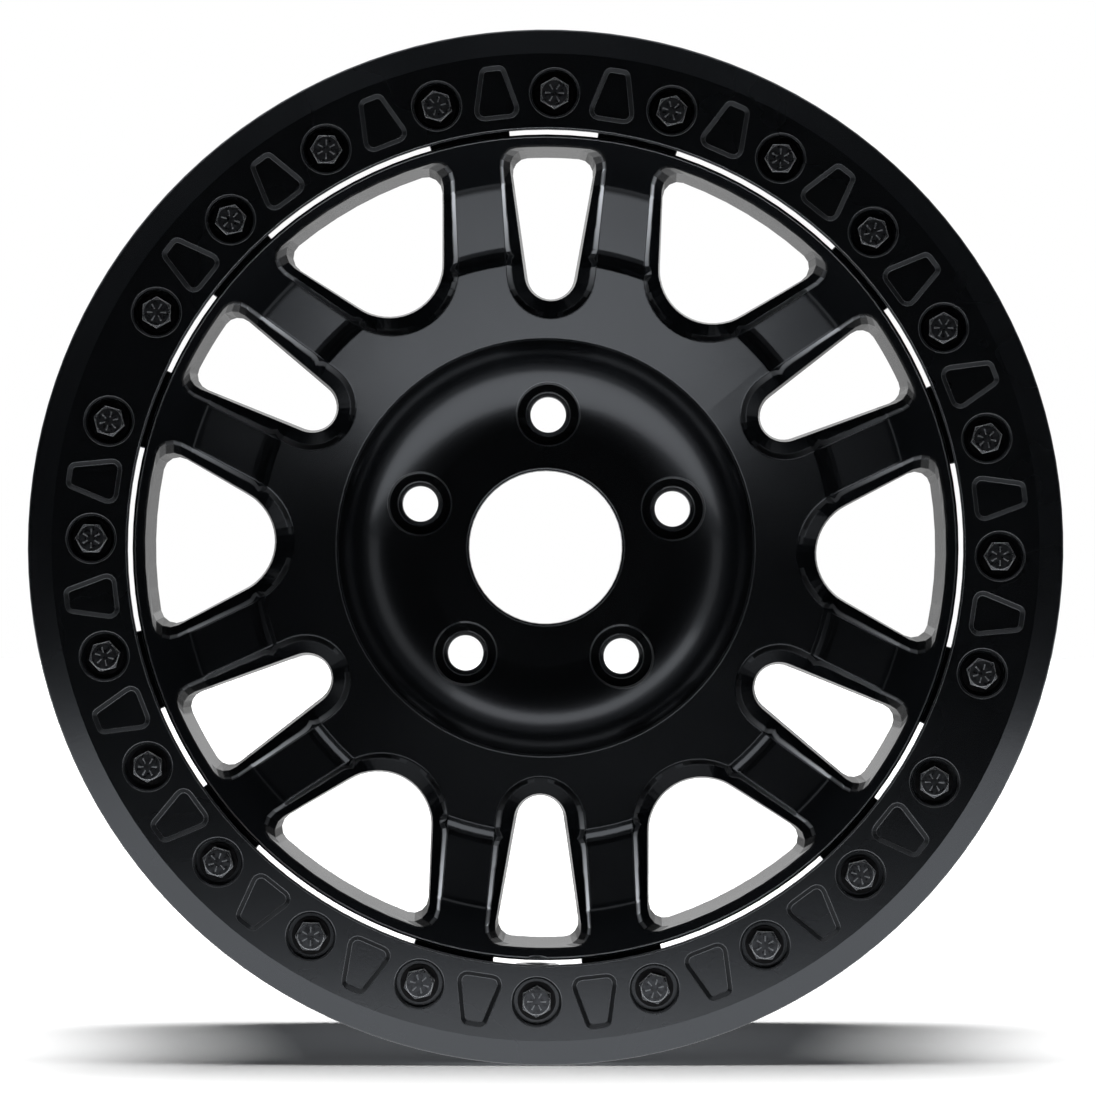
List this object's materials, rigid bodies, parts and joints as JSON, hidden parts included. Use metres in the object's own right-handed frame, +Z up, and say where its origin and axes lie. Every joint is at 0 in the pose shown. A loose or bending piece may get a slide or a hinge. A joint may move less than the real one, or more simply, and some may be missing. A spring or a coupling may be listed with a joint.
{
  "type": "car wheel",
  "caption": "Deep concave off-road wheel with wedge spokes and a bolted, pocketed beadlock ring on its outer lip.",
  "frame": {"origin": "centre of the hub's mounting face, on the axle line, in the rim's centre plane", "axes": "+Y along the axle towards the vehicle, so the outboard face looks towards -Y; +Z up, with the valve hole at the bottom; +X to the right when looking at the outboard face"},
  "size_m": [0.4762, 0.2363, 0.4762],
  "materials": {
    "wheel_black": "satin black",
    "ring_black": "satin black",
    "bolt_steel": "black-plated steel",
    "washer_steel": "black-plated steel"
  },
  "bodies": {
    "root": {"wheel": "wheel_black", "beadlock_ring": "ring_black", "ring_bolts": "bolt_steel", "bolt_washers": "washer_steel"}
  },
  "joints": []
}
